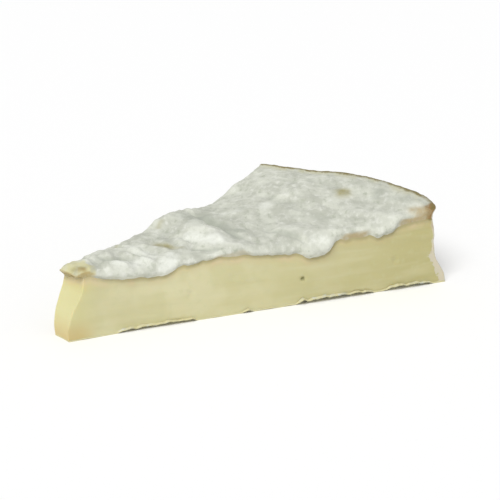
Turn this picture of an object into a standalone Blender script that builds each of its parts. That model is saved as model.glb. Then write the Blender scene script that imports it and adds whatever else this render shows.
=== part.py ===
"""A wedge of soft white-rind cheese, cut from a round wheel.

Run with: blender --background --python part.py

Units are metres and +Z is up. The wedge lies on its flat base at z = 0. Its nose, which was the
middle of the wheel, points to -X and its curved rim faces +X. The origin is under the middle of
its bounding box.
"""

import math

import bmesh
import bpy
from mathutils import Vector

# Driving dimensions
WHEEL_RADIUS = 0.180
SLICE_ANGLE = math.radians(36.5)
NOSE_HEIGHT = 0.0278
RIM_HEIGHT = 0.0378
NOSE_WIDTH = 0.0080

# How far the soft cheese has moved from a sharp-edged slice
NOSE_LEAN = 0.0040  # the nose stands out this far at its foot
RIM_LEAN = 0.0052  # and so does the rim
CUT_BULGE = 0.0008  # the cut faces swell at mid-height
RIM_SHOULDER = 0.0025  # the top falls this far where it turns down into the rim
EDGE_SAG = 0.0018  # the top falls this far along the two cuts
EDGE_WIDTH = 0.0080  # over this distance from a cut

# Broad folds of the top: place along the radius, across the slice, half-length, half-width, height
FOLDS = (
    (0.18, -0.55, 0.09, 0.75, 0.0014),
    (0.31, 0.50, 0.06, 0.80, -0.0012),
    (0.45, 0.00, 0.07, 1.10, -0.0014),
    (0.56, 0.30, 0.07, 0.90, 0.0014),
    (0.63, -0.90, 0.05, 0.45, 0.0010),
    (0.74, 0.75, 0.13, 0.60, -0.0018),
)

# Cage of the subdivision surface: cells along the radius, across the slice and up
CAGE_CELLS = (20, 8, 4)
EDGE_CROWDING = (0.45, 0.55, 0.50)

CHEESE_COLOUR = (0.79, 0.75, 0.58, 1.0)


def clear_scene():
    """Remove every object of the scene that the file opened with."""
    for obj in list(bpy.data.objects):
        bpy.data.objects.remove(obj, do_unlink=True)


def smooth_step(low, high, value):
    """0 below low, 1 above high, and an even S-curve between them."""
    share = min(max((value - low) / (high - low), 0.0), 1.0)
    return share * share * (3.0 - 2.0 * share)


def crowded(share, crowding):
    """Move an evenly spaced share towards the nearer of 0 and 1, so that edges stay crisp."""
    return share - crowding * math.sin(2.0 * math.pi * share) / (2.0 * math.pi)


def top_height(along, across, radius):
    """Height of the top, at 0..1 from nose to rim and -1..1 from one cut to the other."""
    height = NOSE_HEIGHT + (RIM_HEIGHT - NOSE_HEIGHT) * smooth_step(0.45, 1.0, along)
    for place, side, length, width, rise in FOLDS:
        distance = ((along - place) / length) ** 2 + ((across - side) / width) ** 2
        height += rise * math.exp(-distance)
    height -= RIM_SHOULDER * smooth_step(0.97, 1.0, along)
    from_cut = radius * SLICE_ANGLE / 2.0 * (1.0 - abs(across))
    return height - EDGE_SAG * (1.0 - smooth_step(0.0, EDGE_WIDTH, from_cut))


def slice_point(along, across, up):
    """Place a point of the unit block in the wedge, measured from the middle of the wheel."""
    half_angle = SLICE_ANGLE / 2.0
    nose_radius = NOSE_WIDTH / 2.0 / math.sin(half_angle)
    radius = nose_radius + (WHEEL_RADIUS - nose_radius) * along
    height = up * top_height(along, across, radius)
    radius -= NOSE_LEAN * (1.0 - up) ** 2 * (1.0 - smooth_step(0.0, 0.25, along))
    radius += RIM_LEAN * (1.0 - up) ** 1.5 * smooth_step(0.85, 1.0, along)
    x = radius * math.cos(half_angle * across)
    y = radius * math.sin(half_angle * across)
    bulge = CUT_BULGE * math.sin(math.pi * up) * smooth_step(0.6, 1.0, abs(across))
    y += math.copysign(bulge, across)
    # The blunt nose is flat across, and the arcs grow round towards the rim.
    flat_x = radius * math.cos(half_angle)
    x = flat_x + (x - flat_x) * smooth_step(0.0, 0.2, along)
    return Vector((x, y, height))


def split_edges(block, axis, cells):
    """Cut the block into equal cells along one axis."""
    edges = [
        edge
        for edge in block.edges
        if abs(edge.verts[0].co[axis] - edge.verts[1].co[axis]) > 1e-6
    ]
    bmesh.ops.subdivide_edges(block, edges=edges, cuts=cells - 1, use_grid_fill=True)


def cheese_material():
    """Pale, matt and slightly translucent, as ripe cheese is."""
    material = bpy.data.materials.new("soft_cheese")
    material.use_nodes = True
    shader = material.node_tree.nodes["Principled BSDF"]
    shader.inputs["Base Color"].default_value = CHEESE_COLOUR
    shader.inputs["Roughness"].default_value = 0.6
    shader.inputs["Metallic"].default_value = 0.0
    return material


def cheese_wedge(collection):
    """Warp a block of cells into the slice and round it with a subdivision surface."""
    block = bmesh.new()
    bmesh.ops.create_cube(block, size=1.0)
    bmesh.ops.translate(block, verts=block.verts, vec=(0.5, 0.5, 0.5))
    for axis, cells in enumerate(CAGE_CELLS):
        split_edges(block, axis, cells)
    for vert in block.verts:
        along, across, up = (
            crowded(share, crowding) for share, crowding in zip(vert.co, EDGE_CROWDING)
        )
        vert.co = slice_point(along, 2.0 * across - 1.0, up)
    bmesh.ops.recalc_face_normals(block, faces=block.faces)
    mesh = bpy.data.meshes.new("cheese_wedge")
    block.to_mesh(mesh)
    block.free()
    mesh.shade_smooth()

    wedge = bpy.data.objects.new("cheese_wedge", mesh)
    collection.objects.link(wedge)
    mesh.materials.append(cheese_material())
    rounding = wedge.modifiers.new("rounding", "SUBSURF")
    rounding.levels = 1
    rounding.render_levels = 1
    return wedge


def centre_over_origin(obj):
    """Slide the mesh so that its rounded outline is centred on the origin, with its base at z = 0."""
    bpy.context.view_layer.update()
    rounded = obj.evaluated_get(bpy.context.evaluated_depsgraph_get())
    points = [vert.co.copy() for vert in rounded.to_mesh().vertices]
    rounded.to_mesh_clear()
    low = Vector(min(point[axis] for point in points) for axis in range(3))
    high = Vector(max(point[axis] for point in points) for axis in range(3))
    for vert in obj.data.vertices:
        vert.co -= Vector(((low.x + high.x) / 2.0, (low.y + high.y) / 2.0, low.z))


def main():
    clear_scene()
    collection = bpy.data.collections.new("cheese_wedge")
    bpy.context.scene.collection.children.link(collection)
    centre_over_origin(cheese_wedge(collection))


main()
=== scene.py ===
"""A wedge of soft cheese with a white mould rind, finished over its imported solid.

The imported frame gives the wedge's place and size. The wedge is one closed piece: a block of cells
is warped into the slice, its rind is rolled over the two cuts, folded and wrinkled, and the faces
below the rind become paste. Shapes are worked out in millimetres from the middle of the wheel that
the slice was cut from, and turned to metres as they are placed.
"""

import functools
import math

import bmesh
import bpy
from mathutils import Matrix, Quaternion, Vector, noise


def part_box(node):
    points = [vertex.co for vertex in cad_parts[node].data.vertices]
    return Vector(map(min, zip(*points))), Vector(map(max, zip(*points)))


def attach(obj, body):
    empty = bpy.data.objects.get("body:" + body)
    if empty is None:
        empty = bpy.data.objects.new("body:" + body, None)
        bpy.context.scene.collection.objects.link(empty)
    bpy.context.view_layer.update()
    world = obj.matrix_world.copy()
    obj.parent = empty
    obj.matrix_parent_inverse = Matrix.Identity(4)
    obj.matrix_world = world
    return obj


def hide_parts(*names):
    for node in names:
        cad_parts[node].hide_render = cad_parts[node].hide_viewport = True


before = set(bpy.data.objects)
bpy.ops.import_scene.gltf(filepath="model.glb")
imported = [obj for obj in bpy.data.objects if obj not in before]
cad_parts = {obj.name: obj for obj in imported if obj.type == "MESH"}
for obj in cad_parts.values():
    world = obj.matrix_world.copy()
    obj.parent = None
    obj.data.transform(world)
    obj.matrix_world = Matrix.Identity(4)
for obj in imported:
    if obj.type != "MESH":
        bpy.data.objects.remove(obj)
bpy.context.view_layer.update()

MM = 0.001
WEDGE_LOW, WEDGE_HIGH = (Vector(corner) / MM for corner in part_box("cheese_wedge"))

# The slice, in millimetres and radians
HALF_ANGLE = math.radians(36.5) / 2.0
NOSE_WIDTH = 8.0
NOSE_LEAN = 4.0  # the nose's top lies this far behind its foot
RIM_LEAN = 5.2  # and so does the rim's
NOSE_PLACE = NOSE_WIDTH / 2.0 / math.tan(HALF_ANGLE)
NOSE_FOOT = NOSE_PLACE - NOSE_LEAN
WHEEL_MIDDLE = WEDGE_LOW.x - NOSE_FOOT
RIM_RADIUS = WEDGE_HIGH.x - WHEEL_MIDDLE - RIM_LEAN
RIM_PLACE = RIM_RADIUS - NOSE_FOOT

# Cells of the block along the slice, across it and up, and how its rows are shared out
CELLS = (240, 116, 48)
CROWDING = (0.30, 0.50)  # 0 spaces the cells evenly, 1 crowds them at both ends
BASE_ROWS = 4  # rows of rind under the paste
LIP_ROWS = 16  # rows of rind over the paste
LIP_CLIMB = 0.4  # this share of them climbs the lip, and the others turn over its roll
EDGE_TURN = math.radians(45.0)  # an edge's own row sits half-way round its roll
EDGE_SHARE = 1.0 - math.cos(EDGE_TURN)

# Places along the slice are measured from the foot of the nose. These are the heights of the top
# there, before its edges roll over: at the front cut, along the middle and at the back cut.
FRONT_LINE = (
    (0, 28.4), (10, 28.6), (28, 28.6), (48, 27.4), (68, 28.4), (88, 28.4), (110, 28.8),
    (122, 30.2), (136, 31.4), (148, 32.6), (160, 34.2), (175, 34.2),
)
MIDDLE_LINE = (
    (0, 28.4), (18, 28.8), (44, 28.2), (60, 27.8), (75, 30.2), (86, 28.6), (104, 29.2),
    (126, 31.0), (146, 33.4), (165, 35.4), (175, 35.4),
)
BACK_LINE = (
    (0, 28.4), (18, 27.8), (44, 27.0), (64, 26.2), (76, 29.8), (88, 28.6), (104, 25.2),
    (118, 23.8), (128, 24.6), (138, 27.0), (154, 29.2), (168, 31.4), (175, 31.6),
)
# Height of the rim's top edge, from the front cut at -1 to the back one at 1
RIM_LINE = ((-1.0, 36.0), (-0.85, 37.4), (-0.5, 37.4), (0.1, 35.6), (0.5, 32.8), (1.0, 31.3))

# Where rind turns to paste on the two cuts, between the lobes
FRONT_BORDER = (
    (0, 25.3), (10, 25.6), (26, 24.9), (41, 23.6), (50, 24.7), (72, 25.8), (90, 24.3),
    (98, 23.6), (106, 24.4), (122, 26.4), (136, 26.7), (150, 29.0), (160, 30.4), (175, 30.4),
)
BACK_BORDER = (
    (0, 22.6), (12, 23.2), (30, 24.0), (64, 23.4), (78, 26.4), (106, 23.4), (122, 22.4),
    (150, 26.0), (175, 28.4),
)

# Lobes of rind that sag over a cut: place, half-length, how far they hang below the border, how
# far they stand out, and how wide the top rolls over into them
FRONT_LOBES = (
    (29.0, 16.0, 2.2, 1.5, 5.5),
    (54.0, 3.5, 0.5, 0.6, 1.5),
    (90.0, 12.0, 0.5, 0.7, 3.0),
    (110.5, 7.5, 4.3, 2.4, 6.0),
    (142.5, 5.5, 1.9, 1.5, 4.0),
)
BACK_LOBES = (
    (40.0, 12.0, 2.6, 1.2, 4.0),
    (82.0, 9.0, 3.6, 1.6, 4.5),
    (120.0, 10.0, 2.2, 1.0, 3.0),
    (152.0, 7.0, 1.6, 0.8, 2.0),
)
# Where the rind's cut edge is browned along the front cut: from, to, strength
BROWNED = ((58.0, 82.0, 0.5), (119.0, 137.0, 0.9), (147.0, 168.0, 1.0))
THIN_LIP = (0.45, 1.6)  # how far the rind stands out, and rolls over, between the lobes
END_LIP = (0.15, 0.9)  # and at the nose and the rim

# Noise that makes the border ragged: how wide its lumps are, how far they move it, and a seed
BORDER_WAVES = ((4.5, 0.6, 5.2), (1.8, 0.35, 9.9))
LOBE_DRIFT = (7.0, 1.2, 1.7)  # the same for the lobes' places
CUTS_APART = 40.0  # the noise of the two cuts is taken this far to each side, so they differ

# The nose stands back from its foot, and the rim comes in from its foot, by this much at a height
NOSE_PROFILE = ((0, 0.4), (5, 0.3), (11, 1.9), (16, 4.3), (20, 6.2), (24, 7.0), (40, 7.0))
RIM_PROFILE = (
    (0, 0.0), (3, 0.6), (7, 2.8), (12, 6.0), (18, 7.6), (24, 7.8), (29, 9.0), (32, 9.4),
    (34.5, 8.0), (36.5, 5.8), (40, 5.6),
)
NOSE_FLAP = 3.0  # the rind over the nose sticks out this far past the paste
NOSE_TUCK = 0.9  # its top edge comes back this far
NOSE_ROLL = 1.1  # and falls this far
TIP_SPREAD = (1.9, 1.1)  # the soft tip has spread this far each way, at its foot and its top
RIM_ROLL = 1.8  # the rim's top edge is rounded over this far
RIM_FALL = 0.8  # and falls by this share of that
RIM_CRUST = 0.9  # it stands this far proud of the top beside it
THINNEST_RIND = 0.8  # the rind over the paste is at least this thick
FOOT_RIND = 0.5  # and the rind under it is about this thick
CUT_SWELL = 0.7  # the cuts swell this far at mid-height
END_SHARE = 0.10  # the shapes of the nose and the rim reach this share of the way in

# Places where the front cut's foot is clear of the table: from, to, how high
GAPS = ((20.0, 57.0, 1.1), (75.0, 82.0, 1.5), (100.0, 139.5, 1.7), (142.0, 165.0, 1.6))
GAP_END = 4.0  # each fades out over this distance
BACK_GAP_SHIFT = 13.0  # the back cut's are this much nearer the nose

# Noise that pulls the pattern of the top about: slow lumps, and quick ones with how far they pull
SLOW_SWAY = 17.0
QUICK_SWAY, QUICK_PULL = 4.5, 1.4
FOLD_PULL, MARK_PULL = 3.0, 1.5  # how far the slow lumps pull the folds, and the marks
SWAY_SEEDS = (0.3, 40.3)  # one for each direction

# Wrinkles and swells between the folds, and the small lumps and ridges of the rind: how wide, and
# how high
WRINKLE_WIDTH, WRINKLE_RISE = 6.5, 0.75
SWELL_WIDTH, SWELL_RISE = 12.0, 0.9
LUMP_WIDTH, LUMP_RISE = 5.0, 0.26
RIDGE_WIDTH, RIDGE_RISE = 2.6, 0.12

# Waves of the cut paste, and its drag marks, which are long and low: how wide, and how high
WAVE_WIDTH, WAVE_RISE = 22.0, 0.30
DRAG_LENGTH, DRAG_WIDTH, DRAG_RISE = 26.0, 3.5, 0.16

# Bands that the hoop pressed into the rim's wall
BAND_LENGTH, BAND_WIDTH, BAND_RISE = 9.0, 3.5, 0.4

YELLOWED = (10.5, 13.5)  # the rind is yellowed from the nose's foot to here, and not past here
BROWNED_END = 5.0  # a browned place fades out over this distance
EDGE_LINE_DOWN = 1.9  # the dark rim line, partly painted shadow, reaches this much further over the top than down the wall
FAR_FROM_RIM = 30.0  # from here on the dark rim line isn't looked for

# An eye in the front cut, painted dark inside as shade, and then some dents: place, height, radius,
# depth
EYES = (
    (103.6, 11.6, 1.1, 1.5),
    (53.0, 12.2, 1.8, 0.4),
    (72.0, 17.0, 1.4, 0.3),
    (148.0, 14.0, 1.6, 0.4),
)

# Creases and ridges of the top: from, to, half-width, rise
CREASES = (
    ((78, 26), (76, 6), 4.5, 0.6),
    ((71, 4), (71, -24), 5.2, 1.5),
    ((66, 0), (69, -15), 1.8, 0.5),
    ((44, -12), (38, -15), 3.4, 0.9),
    ((88, 24), (84, 2), 4.5, -1.9),
    ((85, 12), (79, -15), 2.6, -1.5),
    ((66, 18), (59, 8), 3.5, -1.0),
    ((50.5, 2), (50.5, -7), 2.0, -0.9),
    ((58, -12), (63, -22), 1.4, -0.6),
    ((60, 0), (50, -15), 3.0, 1.0),
    ((68, 6), (62, -6), 2.2, -0.6),
    ((101, 26), (96, 8), 5.0, -0.9),
    ((109, 8), (119, 2), 6.0, 0.7),
    ((101, -22), (110, -38), 5.5, 1.3),
    ((97, -16), (99, -33), 2.2, -0.9),
    ((125, 14), (121, -20), 4.5, -0.7),
    ((134, -30), (142, -46), 5.0, 1.0),
    ((148, 6), (156, -14), 4.0, -0.6),
)
# Rings of the sagging front lobe: middle, then radius, half-width and rise of each
RING_PLACE = Vector((20.5, -10.5))
RINGS = ((18.5, 2.0, -0.3), (13.5, 2.6, 0.6), (8.5, 2.0, -0.9), (3.0, 2.5, 0.5))

# Marks on the rind, seen from above, each kind laid over the last: from, to, half-width, strength
MARKS = {
    "grey": (
        # Grey marks lie mostly along the creases: painted shade there, partly grey mould.
        ((88, 18), (83, -1), 4.5, 1.0),
        ((83, -1), (78, -16), 3.0, 1.1),
        ((84, -7), (86, -11), 2.0, 1.0),
        ((58, -12), (63, -22), 1.3, 0.8),
        ((79, 22), (74, 4), 4.5, 0.6),
        ((60, 12), (54, 4), 4.0, 0.4),
        ((20, 0), (27, -4), 1.8, 0.6),
        ((153, -26), (158, -22), 3.0, 0.7),
        ((154, -32), (157, -42), 3.5, 0.5),
        ((97, -20), (99, -30), 2.2, 0.7),
        ((116, -16), (126, -26), 4.0, 0.4),
        ((149, 13), (152, 16), 2.5, 0.6),
        ((104, 12), (107, 14), 2.0, 0.6),
        ((125, 12), (128, 14), 2.0, 0.6),
    ),
    "white": (
        # White marks lie mostly on ridges and on slopes that face the light: painted light, partly
        # thick bloom.
        ((64, -2), (68, -16), 4.2, 0.9),
        ((44, -14), (38, -17), 3.6, 1.0),
        ((24, -9), (34, -11), 4.0, 0.8),
        ((38, 4), (39, -8), 4.5, 0.6),
        ((106, -40), (104, -36), 3.4, 0.6),
        ((134, -46), (138, -48), 3.4, 0.25),
        ((112, 6), (117, 9), 4.0, 0.6),
        ((96, 14), (102, 12), 3.0, 0.5),
    ),
    "ochre": (
        ((50, 0.5), (50.5, -4.5), 2.8, 1.1),
        ((51, -6), (53, -9), 2.0, 0.45),
        ((150, -8), (147, -11.5), 3.5, 1.2),
        ((147, -12), (145, -14), 3.2, 0.5),
        ((33, 10), (37, 12), 1.6, 0.5),
        ((64, 20), (68, 22), 1.8, 0.5),
        ((6, -2.5), (7, -5), 2.4, 0.8),
    ),
    "rust": (
        ((150, -50), (155, -55), 3.6, 0.8),
        ((7, -7), (6, -5), 1.8, 0.6),
    ),
    "brown": (((156, -53), (164, -56), 2.9, 1.1), ((6, -3.5), (7, -5.5), 1.6, 0.35)),
}

# The studio: sky and light together make the floor just white. Angles are in degrees.
FLOOR_REACH = 6.0  # metres
FLOOR_COLOUR = "#f7f7f7"
SKY_STRENGTH = 0.50
LIGHT_STRENGTH = 2.4
LIGHT_SPREAD = 35.0
LIGHT_FROM = (-0.59, -0.28, 0.76)

# The camera looks at a spot given in millimetres, from a distance in metres, and leans a little.
CAMERA_TURN, CAMERA_RISE, CAMERA_TILT = -43.0, 19.6, 1.05
CAMERA_DISTANCE = 0.558
CAMERA_AIM = (11.0, -2.0, 15.0)
LENS, SENSOR_WIDTH = 92.0, 36.0


def smooth_step(low, high, value):
    """0 below low, 1 above high, and an even S-curve between them."""
    share = min(max((value - low) / (high - low), 0.0), 1.0)
    return share * share * (3.0 - 2.0 * share)


def between(start, end, fade, place):
    """1 between start and end, fading to 0 over a distance inside each of them."""
    return smooth_step(start, start + fade, place) * (1.0 - smooth_step(end - fade, end, place))


def blend(first, last, share):
    """first at a share of 0, last at 1, and evenly from one to the other between them."""
    return first + (last - first) * share


def follow(line, place):
    """Height at a place on the soft curve through a short list of (place, height) points."""
    last = len(line) - 2
    start = 0
    while start < last and line[start + 1][0] < place:
        start += 1
    before, (x1, y1), (x2, y2) = line[max(start - 1, 0)], line[start], line[start + 1]
    after = line[min(start + 2, last + 1)]
    span = x2 - x1
    slope1 = (y2 - before[1]) / (x2 - before[0]) * span
    slope2 = (after[1] - y1) / (after[0] - x1) * span
    t = min(max((place - x1) / span, 0.0), 1.0)
    return (
        (2 * t**3 - 3 * t**2 + 1) * y1
        + (t**3 - 2 * t**2 + t) * slope1
        + (3 * t**2 - 2 * t**3) * y2
        + (t**3 - t**2) * slope2
    )


def rough(point, size, seed):
    """Soft noise from about -1 to 1, with lumps of that size in millimetres.

    It is fixed: the seed is only a shift, so that two kinds of noise don't look alike.
    """
    return noise.noise(Vector((point[0], point[1], point[2])) / size + Vector((seed, seed, seed)))


def stroke(spot, start, end, width):
    """1 along the line from start to end, fading to 0 over about its half-width."""
    start, end = Vector(start), Vector(end)
    run = end - start
    share = min(max((spot - start).dot(run) / max(run.length_squared, 0.01), 0.0), 1.0)
    distance = (spot - start - run * share).length / width
    return math.exp(-distance * distance)


def plan_spot(x, y, pull):
    """A spot of the top seen from above, from the nose's foot, pulled a little aside by noise."""
    sway = Vector(
        [
            pull * rough((x, y, 7.0), SLOW_SWAY, seed)
            + QUICK_PULL * rough((x, y, 3.0), QUICK_SWAY, seed)
            for seed in SWAY_SEEDS
        ]
    )
    return Vector((x - NOSE_FOOT, y)) + sway


def folds(x, y):
    """Rise of the creases, rings and wrinkles of the top over its broad shape."""
    spot = plan_spot(x, y, FOLD_PULL)
    rise = sum(height * stroke(spot, start, end, width) for start, end, width, height in CREASES)
    from_ring = (spot - RING_PLACE).length
    for radius, width, height in RINGS:
        rise += height * math.exp(-(((from_ring - radius) / width) ** 2))
    # Wrinkles run across the slice near the nose and fade towards the rim.
    soft = 1.0 - 0.6 * smooth_step(70.0, 105.0, spot.x)
    wrinkle = abs(rough((spot.x, spot.y * 0.55, 0.0), WRINKLE_WIDTH, 3.1)) * 2.0
    rise += (0.45 - wrinkle) * WRINKLE_RISE * soft
    rise += rough((spot.x, spot.y, 0.0), SWELL_WIDTH, 8.4) * SWELL_RISE
    return rise


def top_height(x, y, radius, side):
    """Height of the top over a spot, before its edges roll over."""
    edge_line = FRONT_LINE if side < 0 else BACK_LINE
    place = radius - NOSE_FOOT
    height = blend(follow(MIDDLE_LINE, place), follow(edge_line, place), abs(side) ** 1.7)
    at_rim = smooth_step(RIM_PLACE - 20.0, RIM_PLACE - 3.0, place)
    height += folds(x, y) * smooth_step(4.0, 15.0, place) * (1.0 - 0.85 * at_rim)
    height = blend(height, follow(RIM_LINE, side), at_rim)
    # The crust at the rim's edge stands a little proud of the top.
    inside = smooth_step(RIM_PLACE - 1.4, RIM_PLACE - 3.6, place)
    height -= RIM_CRUST * inside * smooth_step(RIM_PLACE - 25.0, RIM_PLACE - 8.0, place)
    return height - NOSE_ROLL * smooth_step(7.5, 4.0, place)


def border(radius, side):
    """Where rind turns to paste on a cut, and how far the rind stands out and rolls over."""
    place = radius - NOSE_FOOT
    front = side < 0
    stand, roll = THIN_LIP
    to_back = smooth_step(-1.0, 1.0, side)
    height = blend(follow(FRONT_BORDER, place), follow(BACK_BORDER, place), to_back)
    spot = (place, side * CUTS_APART, 0.0)
    width, reach, seed = LOBE_DRIFT
    drift = rough(spot, width, seed) * reach
    for middle, half, hang, lobe_stand, lobe_roll in FRONT_LOBES if front else BACK_LOBES:
        share = math.exp(-(abs((place + drift - middle) / half) ** 6))
        height -= hang * share
        stand += lobe_stand * share
        roll += lobe_roll * share
    for width, rise, seed in BORDER_WAVES:
        height += rise * rough(spot, width, seed)
    ends = smooth_step(NOSE_PLACE - 1.0, NOSE_PLACE + 6.0, radius)
    ends *= 1.0 - smooth_step(RIM_RADIUS - 8.0, RIM_RADIUS - 1.0, radius)
    return height, blend(END_LIP[0], stand, ends), blend(END_LIP[1], roll, ends)


def rolled(distance, roll):
    """How far a rounded edge of that roll has fallen at a distance inside its outermost line."""
    if distance >= roll:
        return 0.0
    share = 1.0 - max(distance, 0.0) / roll
    return 1.0 - math.sqrt(max(1.0 - share * share, 0.0))


def foot_gap(place, side):
    """How far the foot of a cut is clear of the table."""
    shifted = place + (0.0 if side < 0 else BACK_GAP_SHIFT)
    height = max(rise * between(start, end, GAP_END, shifted) for start, end, rise in GAPS)
    height *= 1.0 + 0.7 * rough((place, side, 0.0), 2.4, 8.1)
    return max(height + 0.45 * rough((place, side, 0.0), 4.0, 2.7), 0.0)


@functools.lru_cache(maxsize=None)
def column(along, across):
    """What the rows of a column share: radius, crest, the rind's lower border, stand and roll."""
    angle = HALF_ANGLE * across
    radius = blend(NOSE_PLACE / math.cos(angle), RIM_RADIUS, along)
    low, stand, roll = border(radius, across)
    crest = top_height(radius * math.cos(angle), radius * math.sin(angle), radius, across)
    return radius, crest, min(low, crest - THINNEST_RIND), stand, roll


def slice_point(along, across, row):
    """Where a point of the block goes, in millimetres from the middle of the wheel.

    along runs from 0 at the nose to 1 at the rim, and across from -1 at the front cut to 1 at the
    back one. row counts from the base. Also gives the depth below the rind.
    """
    angle = HALF_ANGLE * across
    nose_radius = NOSE_PLACE / math.cos(angle)
    radius, crest, low, stand, roll = column(along, across)
    from_cut = radius * HALF_ANGLE * (1.0 - abs(across))
    from_rim = (RIM_RADIUS - nose_radius) * (1.0 - along)
    on_rim = smooth_step(1.0 - END_SHARE, 1.0, along)
    on_nose = 1.0 - smooth_step(0.0, END_SHARE, along)
    on_cut = smooth_step(0.0, 1.0, 1.0 - from_cut / (1.6 * roll))
    turn = min(roll, 0.6 * (crest - low))

    # The rolled edge pushes its own row out and lets the rows inside it follow.
    edge_out = stand - roll * EDGE_SHARE
    cut_out = edge_out * on_cut
    flap = 0.0
    rim_out = 0.0
    up = CELLS[2]
    if row == up:
        height = crest - turn * rolled(from_cut - cut_out + stand, roll)
        height -= RIM_FALL * RIM_ROLL * rolled(from_rim + RIM_ROLL * EDGE_SHARE, RIM_ROLL)
        rim_out = -RIM_ROLL * EDGE_SHARE
        flap = NOSE_FLAP - NOSE_TUCK
    elif row >= up - LIP_ROWS:
        share = (row - (up - LIP_ROWS)) / LIP_ROWS
        bead = min(share / LIP_CLIMB, 1.0)
        bend = max(share - LIP_CLIMB, 0.0) / (1.0 - LIP_CLIMB) * EDGE_TURN
        cut_out = stand * math.sin(bead * math.pi / 2.0) - roll * (1.0 - math.cos(bend))
        height = blend(low, crest - turn, bead) + turn * math.sin(bend)
        at_edge = smooth_step(RIM_RADIUS - 3.0, RIM_RADIUS, radius)
        height -= RIM_FALL * RIM_ROLL * EDGE_SHARE * at_edge * share
        rim_out = -RIM_ROLL * (1.0 - math.cos(bend))
        flap = NOSE_FLAP * smooth_step(0.0, 0.45, share)
        flap -= NOSE_TUCK * smooth_step(0.4, 1.0, share)
    else:
        x, y = radius * math.cos(angle), radius * math.sin(angle)
        foot = FOOT_RIND + 0.3 * rough((x, y, 0.0), 3.0, 4.4)
        gap = foot_gap(radius - NOSE_FOOT, across) * smooth_step(5.0, 0.0, from_cut)
        cut_out = 0.0
        if row <= BASE_ROWS:
            share = row / BASE_ROWS
            height = blend(gap, foot + gap, share)
            tuck = 0.35 + 0.9 * gap
            cut_out = -tuck * (1.0 - math.sin(share * math.pi / 2.0))
            cut_out *= smooth_step(3.5, 0.0, from_cut)
        else:
            share = (row - BASE_ROWS) / (up - LIP_ROWS - BASE_ROWS)
            height = blend(foot + gap, low, share)

    # The soft cheese leans out towards its foot. The rim's wall is waisted near the front cut.
    level = min(height / max(crest, 1.0), 1.0)
    if row < up - LIP_ROWS:
        nose_shift = follow(NOSE_PROFILE, height) - NOSE_LEAN
    else:
        nose_shift = follow(NOSE_PROFILE, low) - NOSE_LEAN - flap
    waist = blend(0.45, 1.0, smooth_step(0.2, -0.9, across))
    ragged = 0.55 * rough((across * 50.0, height, 0.0), 2.8, 4.2)
    straight = RIM_LEAN * (1.0 - (1.0 - level) ** 1.5)
    rim_shift = blend(straight, follow(RIM_PROFILE, height), waist)
    rim_shift += ragged * math.sin(math.pi * level)
    tip = 1.0 - smooth_step(-2.0, 36.0, radius - NOSE_FOOT)
    radius += nose_shift * on_nose / math.cos(angle) + (RIM_LEAN - rim_shift + rim_out) * on_rim
    x, y = radius * math.cos(angle), radius * math.sin(angle)
    y += blend(TIP_SPREAD[0], TIP_SPREAD[1], level) * tip * across
    bulge = CUT_SWELL * math.sin(math.pi * level) * smooth_step(0.6, 1.0, abs(across))
    out = math.copysign(cut_out + bulge, across)
    y += out * math.cos(HALF_ANGLE)
    x -= abs(out) * math.sin(HALF_ANGLE)
    depth = low - height if row < up - LIP_ROWS else 0.0
    return Vector((x, y, height)), depth


def crowded(share, crowding):
    """Move an evenly spaced share towards the nearer of 0 and 1."""
    return share - crowding * math.sin(2.0 * math.pi * share) / (2.0 * math.pi)


def cheese_block():
    """A closed block of cells, with the faces that will be paste marked by their material."""
    block = bmesh.new()
    bmesh.ops.create_cube(block, size=1.0)
    bmesh.ops.translate(block, verts=block.verts, vec=(0.5, 0.5, 0.5))
    for axis, cells in enumerate(CELLS):
        edges = [
            edge
            for edge in block.edges
            if abs(edge.verts[0].co[axis] - edge.verts[1].co[axis]) > 0.5
        ]
        bmesh.ops.subdivide_edges(block, edges=edges, cuts=cells - 1, use_grid_fill=True)
    low = BASE_ROWS / CELLS[2]
    high = 1.0 - LIP_ROWS / CELLS[2]
    block.normal_update()
    for face in block.faces:
        middle = face.calc_center_median()
        upright = abs(face.normal.z) < 0.5
        on_rim = face.normal.x > 0.5
        face.material_index = int(upright and not on_rim and low < middle.z < high)
        face.smooth = True
    return block


def crinkle(point):
    """Small wrinkles and lumps of the rind, in millimetres."""
    lumps = noise.fractal(point / LUMP_WIDTH, 0.9, 2.1, 4)
    ridges = 0.4 - abs(rough(point, RIDGE_WIDTH, 6.6)) * 2.0
    return LUMP_RISE * lumps + RIDGE_RISE * ridges


def bands(point):
    """Bands of the rim's wall, in millimetres."""
    pressed = Vector((point.x / BAND_LENGTH, point.y / BAND_LENGTH, point.z / BAND_WIDTH))
    return BAND_RISE * noise.fractal(pressed, 0.9, 2.1, 3)


def in_eye(point, place, height, radius):
    """1 inside an eye of the front cut, fading to 0 at its edge."""
    reach = place + NOSE_FOOT
    eye = Vector((reach * math.cos(HALF_ANGLE), -reach * math.sin(HALF_ANGLE), height))
    return math.exp(-(((point - eye).length / radius) ** 4))


def smear(point):
    """Soft drag marks and dents of the cut paste, in millimetres."""
    drag = Vector((point.x / DRAG_LENGTH, point.y / DRAG_LENGTH, point.z / DRAG_WIDTH))
    rise = WAVE_RISE * rough(point, WAVE_WIDTH, 2.2) + DRAG_RISE * noise.fractal(drag, 1.0, 2.0, 3)
    for place, height, radius, depth in EYES:
        rise -= depth * in_eye(point, place, height, radius)
    return rise


def marked(spot, marks):
    """The strongest of some marks at a spot."""
    return max(strength * stroke(spot, start, end, width) for start, end, width, strength in marks)


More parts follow.
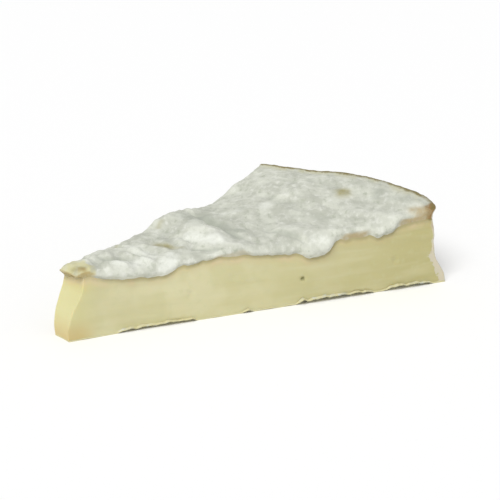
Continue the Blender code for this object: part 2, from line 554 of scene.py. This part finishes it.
def mark_rind(vert, layers, across, row):
    """Note on a point of the rind how it is folded, marked, yellowed and browned."""
    top = smooth_step(CELLS[2] - LIP_ROWS, CELLS[2], row)
    vert[layers["relief"]] = folds(vert.co.x, vert.co.y) * top
    spot = plan_spot(vert.co.x, vert.co.y, MARK_PULL)
    for name, marks in MARKS.items():
        vert[layers[name]] = marked(spot, marks)
    # The rind over the nose is yellowed, and browned where it was cut through.
    place = vert.co.xy.length - NOSE_FOOT
    tip = 1.0 - smooth_step(*YELLOWED, place + rough(vert.co, 3.0, 1.1) * 2.0)
    browned = 0.9 * tip * (1.0 - smooth_step(0.55, 0.95, top))
    if across < 0.0:
        edge = 1.0 - smooth_step(0.04, 0.55, top)
        for start, end, strength in BROWNED:
            browned = max(browned, strength * between(start, end, BROWNED_END, place) * edge)
    vert[layers["rust"]] = max(vert[layers["rust"]], browned)
    vert[layers["cream"]] = tip


def roughen(block, layers):
    """Crinkle the rind, and give the paste its drag marks and eyes."""
    for vert in block.verts:
        if vert.co.z < 0.01:
            continue
        paste = sum(face.material_index for face in vert.link_faces) / len(vert.link_faces)
        wrinkle = crinkle(vert.co)
        foot = smooth_step(0.0, 2.5, vert.co.z)
        on_wall = 1.0 - smooth_step(0.0, 0.6, vert[layers["from_rim"]])
        wrinkle += bands(vert.co) * on_wall
        rise = blend(wrinkle, smear(vert.co), min(1.0, paste * 1.5))
        # The eye's inside is kept in the brown layer, for painted shade in the pit.
        if paste > 0.5:
            vert[layers["brown"]] = in_eye(vert.co, *EYES[0][:3])
        vert[layers["relief"]] += wrinkle
        vert.co += vert.normal * foot * rise


def cheese_wedge():
    """Warp the block into the slice, and finish its rind and its paste."""
    block = cheese_block()
    layers = {
        name: block.verts.layers.float.new(name)
        for name in ("relief", "depth", "cream", "rim_edge", "from_rim", *MARKS)
    }
    for vert in block.verts:
        # Rounded, so that the rows of a column find the values that they share.
        along = crowded(round(vert.co.x, 5), CROWDING[0])
        across = 2.0 * crowded(round(vert.co.y, 5), CROWDING[1]) - 1.0
        row = round(vert.co.z * CELLS[2])
        vert.co, vert[layers["depth"]] = slice_point(along, across, row)
        if row >= CELLS[2] - LIP_ROWS:
            mark_rind(vert, layers, across, row)
        from_rim = (1.0 - along) * RIM_RADIUS
        vert[layers["from_rim"]] = from_rim
        below = max(follow(RIM_LINE, across) - vert.co.z, 0.0)
        near = from_rim < FAR_FROM_RIM
        vert[layers["rim_edge"]] = max(from_rim, EDGE_LINE_DOWN * below) if near else FAR_FROM_RIM
    bmesh.ops.recalc_face_normals(block, faces=block.faces)
    block.normal_update()
    roughen(block, layers)
    bmesh.ops.smooth_vert(
        block, verts=block.verts, factor=0.3, use_axis_x=True, use_axis_y=True, use_axis_z=False
    )
    bmesh.ops.translate(block, verts=block.verts, vec=(WHEEL_MIDDLE, 0.0, 0.0))
    bmesh.ops.scale(block, verts=block.verts, vec=(MM, MM, MM))

    mesh = bpy.data.meshes.new("rind_and_paste")
    block.to_mesh(mesh)
    block.free()
    wedge = bpy.data.objects.new("rind_and_paste", mesh)
    bpy.context.scene.collection.objects.link(wedge)
    return wedge


def linear(hex_colour):
    """Turn an sRGB hex colour to the linear colour that a shader takes."""
    parts = (int(hex_colour[place : place + 2], 16) / 255.0 for place in (1, 3, 5))
    return (
        *(part / 12.92 if part <= 0.04045 else ((part + 0.055) / 1.055) ** 2.4 for part in parts),
        1.0,
    )


def add_node(tree, kind, inputs=(), **settings):
    """Add a node with its settings. inputs gives sockets a value or another node's output."""
    node = tree.nodes.new(kind)
    for name, value in settings.items():
        setattr(node, name, value)
    for socket, value in dict(inputs).items():
        if isinstance(value, bpy.types.NodeSocket):
            tree.links.new(value, node.inputs[socket])
        else:
            node.inputs[socket].default_value = value
    return node


def new_material(name):
    """A material with its node tree and its shader."""
    material = bpy.data.materials.new(name)
    material.use_nodes = True
    tree = material.node_tree
    return material, tree, tree.nodes["Principled BSDF"]


def patterns(tree, attributes, clouds):
    """What a finish varies by: the mesh's own layers, and noise with lumps of a size in mm."""
    found = {}
    for name in attributes:
        found[name] = add_node(tree, "ShaderNodeAttribute", attribute_name=name).outputs["Fac"]
    for name, where, size, detail, roughness in clouds:
        inputs = {"Vector": where, "Scale": 1.0 / (size * MM), "Detail": detail}
        inputs["Roughness"] = roughness
        found[name] = add_node(tree, "ShaderNodeTexNoise", inputs).outputs["Fac"]
    return found


def lay_colours(tree, colour, found, layers):
    """Lay colours one over another.

    A layer is its colour, the least and the most that it covers, and what it follows: the name of
    a pattern, where it starts and where it is full. The least belongs to the first of these.
    """
    for hex_colour, least, share, *ranges in layers:
        for name, start, full in ranges:
            inputs = {"Value": found[name], "From Min": start, "From Max": full}
            inputs.update({"To Min": least, "To Max": share})
            step = add_node(tree, "ShaderNodeMapRange", inputs, interpolation_type="SMOOTHSTEP")
            share, least = step.outputs["Result"], 0.0
        inputs = {0: share, 6: colour, 7: linear(hex_colour)}
        colour = add_node(tree, "ShaderNodeMix", inputs, data_type="RGBA").outputs[2]
    return colour


def white_mould_rind():
    """The felt of white mould that a soft cheese ripens under.

    It is a dry, matt nap with no gloss. It is thick and white on the swells, thin and grey-green
    in the creases, where the damp skin shows through, and painted shade greys the creases further
    while painted light whitens the swells and ridges. It is rubbed to ochre and brown at the edges,
    and the dark line along the rim's top edge is partly a painted shadow.
    """
    material, tree, shader = new_material("white_mould_rind")
    place = add_node(tree, "ShaderNodeTexCoord").outputs["Object"]
    # The felt lies in tufts drawn out one way, as it was stroked when the wheel was turned.
    stroked = add_node(
        tree,
        "ShaderNodeMapping",
        {"Vector": place, "Rotation": (0.0, 0.0, math.radians(47.0)), "Scale": (1.7, 1.0, 1.0)},
        vector_type="TEXTURE",
    ).outputs["Vector"]
    banded = add_node(
        tree, "ShaderNodeMapping", {"Vector": place, "Scale": (1.0, 1.0, 2.6)}
    ).outputs["Vector"]
    # The nap's hairs are far finer than this, and are drawn at 0.8 mm so that they show.
    found = patterns(
        tree,
        ("relief", "cream", "rim_edge", "from_rim", *MARKS),
        (
            ("patches", stroked, 7.0, 3.0, 0.55),
            ("specks", stroked, 2.8, 4.0, 0.62),
            ("flecks", banded, 9.0, 5.0, 0.7),
            ("nap", place, 0.8, 3.0, 0.6),
        ),
    )
    found["height"] = add_node(tree, "ShaderNodeSeparateXYZ", {"Vector": place}).outputs["Z"]
    # Specks make the dark rim line ragged by up to 3 mm, and flecks the damp foot by up to 16 mm.
    found["edge_line_and_shadow"] = add_node(
        tree,
        "ShaderNodeMath",
        {0: found["specks"], 1: -3.0, 2: found["rim_edge"]},
        operation="MULTIPLY_ADD",
    ).outputs[0]
    found["damp"] = add_node(
        tree,
        "ShaderNodeMath",
        {0: found["flecks"], 1: -16.0 * MM, 2: found["height"]},
        operation="MULTIPLY_ADD",
    ).outputs[0]

    ragged = ("specks", 0.30, 0.60)
    on_wall = ("from_rim", 0.6, 0.1)
    colour = lay_colours(
        tree,
        linear("#babcaf"),
        found,
        (
            ("#ced0c3", 0.0, 1.0, ("patches", 0.36, 0.64)),
            ("#e2e3da", 0.0, 0.55, ("specks", 0.50, 0.72)),
            ("#a5aa98", 0.0, 0.60, ("specks", 0.46, 0.30)),
            # Painted shade greys the creases and painted light whitens the swells, by how the top
            # is folded, partly as thin and thick bloom.
            ("#9fa396", 0.0, 0.45, ("relief", 0.0, -1.8)),
            ("#e6e7de", 0.0, 0.35, ("relief", 0.4, 2.2)),
            # The top is thin and yellowed beside the rim, whose top edge has a dark brown line that
            # is partly the rind's own colour and partly a painted shadow line.
            ("#aaa680", 0.0, 0.55, ("patches", 0.38, 0.62), ("from_rim", 9.0, 2.0)),
            # Grey marks along the creases are painted shade there, partly grey mould.
            ("#9ba093", 0.36, 0.65, ragged, ("grey", 0.0, 1.0)),
            # White marks on ridges and slopes that face the light are painted light, partly thick
            # bloom.
            ("#e6e8df", 0.44, 0.80, ragged, ("white", 0.0, 1.0)),
            ("#c8c392", 0.40, 0.88, ragged, ("cream", 0.0, 1.0)),
            ("#9c9564", 0.55, 0.90, ragged, ("ochre", 0.0, 1.1)),
            ("#a8925f", 0.40, 0.80, ragged, ("rust", 0.0, 1.0)),
            ("#86683c", 0.50, 0.95, ragged, ("brown", 0.0, 0.9)),
            # The rim's wall is painted lighter, as painted light, since it faces away from the
            # light. It is flecked and banded with brown near its foot.
            ("#dcd9c8", 0.0, 0.80, on_wall),
            ("#eeebdd", 0.0, 0.60, ("flecks", 0.48, 0.38), on_wall),
            ("#b58d58", 0.35, 0.90, ("height", 9 * MM, 1 * MM), ("flecks", 0.51, 0.60), on_wall),
            ("#94713f", 0.05, 0.75, ("height", 7 * MM, 1 * MM), ("flecks", 0.60, 0.68), on_wall),
            # The dark line along the rim's top edge: partly the rind's brown, partly a painted
            # shadow line.
            ("#776c42", 0.43, 0.95, ("patches", 0.32, 0.50), ("edge_line_and_shadow", 1.7, 0.3)),
            # Its foot is flattened, damp and stained by the paste.
            ("#c8c193", 0.60, 0.92, ragged, ("damp", -4.4 * MM, -5.8 * MM)),
        ),
    )
    bump = add_node(
        tree, "ShaderNodeBump", {"Height": found["nap"], "Strength": 0.6, "Distance": 0.3 * MM}
    )
    tree.links.new(bump.outputs["Normal"], shader.inputs["Normal"])
    tree.links.new(colour, shader.inputs["Base Color"])
    shader.inputs["Roughness"].default_value = 0.92
    shader.inputs["Specular IOR Level"].default_value = 0.2
    shader.inputs["Sheen Weight"].default_value = 0.12
    return material


def ripe_paste():
    """The cut body of a soft, ripe cow's-milk cheese.

    It is fat and moist, so light goes in a little and it shines softly. It is ivory at the heart,
    straw-yellow towards the rim, where it ripened first, and darker just under the rind. Painted
    shade also darkens the cut towards the rim, and the inside of an eye is painted dark as shade.
    """
    material, tree, shader = new_material("ripe_paste")
    place = add_node(tree, "ShaderNodeTexCoord").outputs["Object"]
    drag = add_node(
        tree, "ShaderNodeMapping", {"Vector": place, "Scale": (0.14, 0.14, 1.0)}
    ).outputs["Vector"]
    found = patterns(
        tree,
        ("depth", "from_rim", "brown"),
        (
            ("streaks", drag, 5.0, 2.0, 0.5),
            ("clouds", place, 13.0, 2.0, 0.55),
            ("grain", place, 3.0, 3.0, 0.55),
        ),
    )
    axes = add_node(tree, "ShaderNodeSeparateXYZ", {"Vector": place})
    found["along"], found["height"] = axes.outputs["X"], axes.outputs["Z"]
    # At the rim the rind shows in section, thick and ragged near the foot.
    thickness = {"Value": found["height"], "From Min": 20 * MM, "From Max": 10 * MM}
    thickness.update({"To Min": -2.2, "To Max": -8.0})
    thick = add_node(tree, "ShaderNodeMapRange", thickness, interpolation_type="SMOOTHSTEP")
    found["skin"] = add_node(
        tree,
        "ShaderNodeMath",
        {0: found["grain"], 1: thick.outputs["Result"], 2: found["from_rim"]},
        operation="MULTIPLY_ADD",
    ).outputs[0]

    near_nose = ("along", -74 * MM, -84 * MM)
    ripening = ("along", -85 * MM, -35 * MM)
    skin = ("skin", 0.2, -0.5)
    colour = lay_colours(
        tree,
        linear("#cfcaa2"),
        found,
        (
            ("#c8c397", 0.0, 1.0, ("clouds", 0.35, 0.65)),
            # Painted shade: the cut darkens and yellows from its middle towards the rim, partly as
            # riper paste there.
            ("#b6af7b", 0.0, 1.0, ("along", -40 * MM, 85 * MM)),
            ("#d6d1ae", 0.0, 0.24, ("streaks", 0.48, 0.72)),
            ("#bdb680", 0.0, 0.24, ("streaks", 0.50, 0.28)),
            ("#c2c196", 0.0, 0.35, ("grain", 0.52, 0.75)),
            ("#cdc892", 0.0, 0.70, near_nose),
            ("#c4a970", 0.0, 0.60, near_nose, ("height", 11 * MM, 1 * MM)),
            ("#cbbd6c", 0.0, 0.50, near_nose, ("height", 17 * MM, 24 * MM)),
            # Just under the rind it is brownish, then pinkish cream where it is ripest.
            ("#bfa97c", 0.13, 0.30, ripening, ("depth", 5.0, 0.8)),
            ("#d3c09c", 0.0, 0.60, ("clouds", 0.45, 0.62), ("depth", 4.5, 1.2)),
            ("#a39a70", 0.30, 0.75, ripening, ("depth", 2.2, 0.3)),
            ("#cdc6b2", 0.0, 0.90, skin),
            ("#a08a5e", 0.0, 0.55, ("clouds", 0.50, 0.40), skin),
            # An eye's inside is painted darker, as painted shade in the pit.
            ("#77753f", 0.0, 0.85, ("brown", 0.0, 0.8)),
        ),
    )
    ripple = add_node(
        tree,
        "ShaderNodeBump",
        {"Height": found["streaks"], "Strength": 0.15, "Distance": 0.5 * MM},
    )
    tree.links.new(ripple.outputs["Normal"], shader.inputs["Normal"])
    tree.links.new(colour, shader.inputs["Base Color"])
    shader.inputs["Roughness"].default_value = 0.5
    shader.inputs["Specular IOR Level"].default_value = 0.35
    shader.inputs["Subsurface Weight"].default_value = 0.25
    shader.inputs["Subsurface Radius"].default_value = (3 * MM, 2 * MM, 1 * MM)
    shader.inputs["Subsurface Scale"].default_value = 1.0
    return material


def studio():
    """A white floor that runs out of sight, a soft high light and a pale sky."""
    block = bmesh.new()
    bmesh.ops.create_grid(block, x_segments=1, y_segments=1, size=FLOOR_REACH)
    mesh = bpy.data.meshes.new("studio_floor")
    block.to_mesh(mesh)
    block.free()
    floor = bpy.data.objects.new("studio_floor", mesh)
    bpy.context.scene.collection.objects.link(floor)
    # Matt white paint takes a soft shadow and mirrors nothing.
    material, _, shader = new_material("matt_white_paint")
    shader.inputs["Base Color"].default_value = linear(FLOOR_COLOUR)
    shader.inputs["Roughness"].default_value = 0.9
    shader.inputs["Specular IOR Level"].default_value = 0.1
    mesh.materials.append(material)

    world = bpy.data.worlds.new("pale_sky")
    world.use_nodes = True
    tree = world.node_tree
    seen = add_node(tree, "ShaderNodeLightPath").outputs["Is Camera Ray"]
    strength = add_node(
        tree, "ShaderNodeMapRange", {"Value": seen, "To Min": SKY_STRENGTH, "To Max": 1.0}
    ).outputs["Result"]
    tree.links.new(strength, tree.nodes["Background"].inputs["Strength"])
    tree.nodes["Background"].inputs["Color"].default_value = (1.0, 1.0, 1.0, 1.0)
    bpy.context.scene.world = world

    light = bpy.data.lights.new("high_light", "SUN")
    light.energy = LIGHT_STRENGTH
    light.angle = math.radians(LIGHT_SPREAD)
    lamp = bpy.data.objects.new("high_light", light)
    lamp.rotation_euler = Vector(LIGHT_FROM).to_track_quat("Z", "Y").to_euler()
    bpy.context.scene.collection.objects.link(lamp)


def camera():
    """Look along the front cut from beside the nose, a little above the table."""
    turn, rise = math.radians(CAMERA_TURN), math.radians(CAMERA_RISE)
    back = Vector(
        (math.sin(turn) * math.cos(rise), -math.cos(turn) * math.cos(rise), math.sin(rise))
    )
    lens = bpy.data.cameras.new("camera")
    lens.lens = LENS
    lens.sensor_width = SENSOR_WIDTH
    viewer = bpy.data.objects.new("camera", lens)
    viewer.location = Vector(CAMERA_AIM) * MM + back * CAMERA_DISTANCE
    tilt = Quaternion(back, math.radians(CAMERA_TILT))
    viewer.rotation_euler = (tilt @ back.to_track_quat("Z", "Y")).to_euler()
    bpy.context.scene.collection.objects.link(viewer)
    bpy.context.scene.camera = viewer


def main():
    """Make the wedge and its surroundings."""
    wedge = cheese_wedge()
    for material in (white_mould_rind(), ripe_paste()):
        wedge.data.materials.append(material)
    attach(wedge, "root")
    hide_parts("cheese_wedge")
    studio()
    camera()
    bpy.context.scene.view_settings.view_transform = "Standard"
    bpy.context.view_layer.update()


main()
